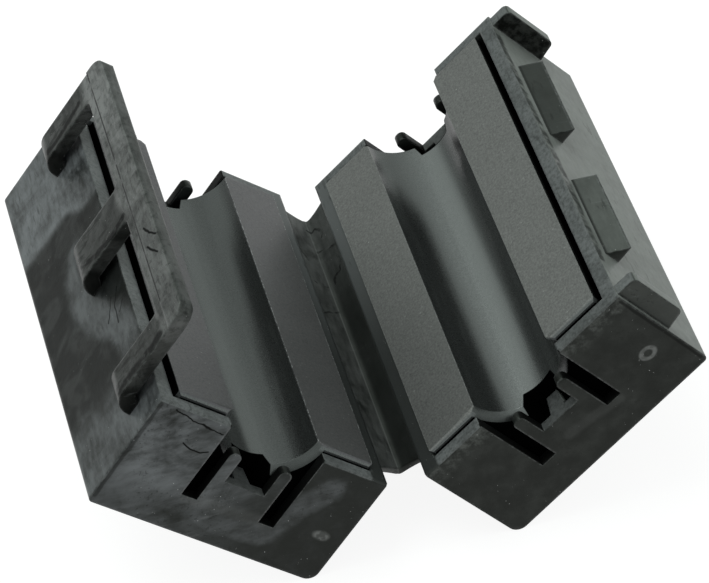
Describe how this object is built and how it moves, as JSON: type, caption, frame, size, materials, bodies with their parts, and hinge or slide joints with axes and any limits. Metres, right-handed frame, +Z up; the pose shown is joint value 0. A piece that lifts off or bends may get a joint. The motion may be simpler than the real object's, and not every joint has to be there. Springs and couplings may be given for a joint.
{
  "type": "clip-on ferrite bead",
  "caption": "Open clip-on ferrite bead: hinged black plastic case with a split ferrite core and a snap strap, clipped round a cable to damp noise.",
  "frame": {"origin": "on the floor under the hinge line, half way along the case", "axes": "+Y along the cable, +Z up, +X towards the half with the catch teeth"},
  "size_m": [0.0414, 0.0326, 0.0233],
  "materials": {
    "nylon": "satin",
    "ferrite": "matte"
  },
  "bodies": {
    "latch_half": {"case_latch_half": "nylon", "ferrite_core_latch": "ferrite", "living_hinge": "nylon"},
    "catch_half": {"case_catch_half": "nylon", "ferrite_core_catch": "ferrite"},
    "latch_strap": {"latch_strap": "nylon"}
  },
  "joints": [
    {"name": "case_hinge", "type": "hinge", "parent": "latch_half", "child": "catch_half", "pos_m": [0, 0, 0.00599], "axis": [0, -1, 0], "range_deg": [-80, 100], "deforming": ["living_hinge"]},
    {"name": "latch_flex", "type": "hinge", "parent": "latch_half", "child": "latch_strap", "pos_m": [-0.01702, 0, 0.0157], "axis": [0, -1, 0], "range_deg": [0, 12], "stiffness_Nm_per_rad": 0.05}
  ]
}
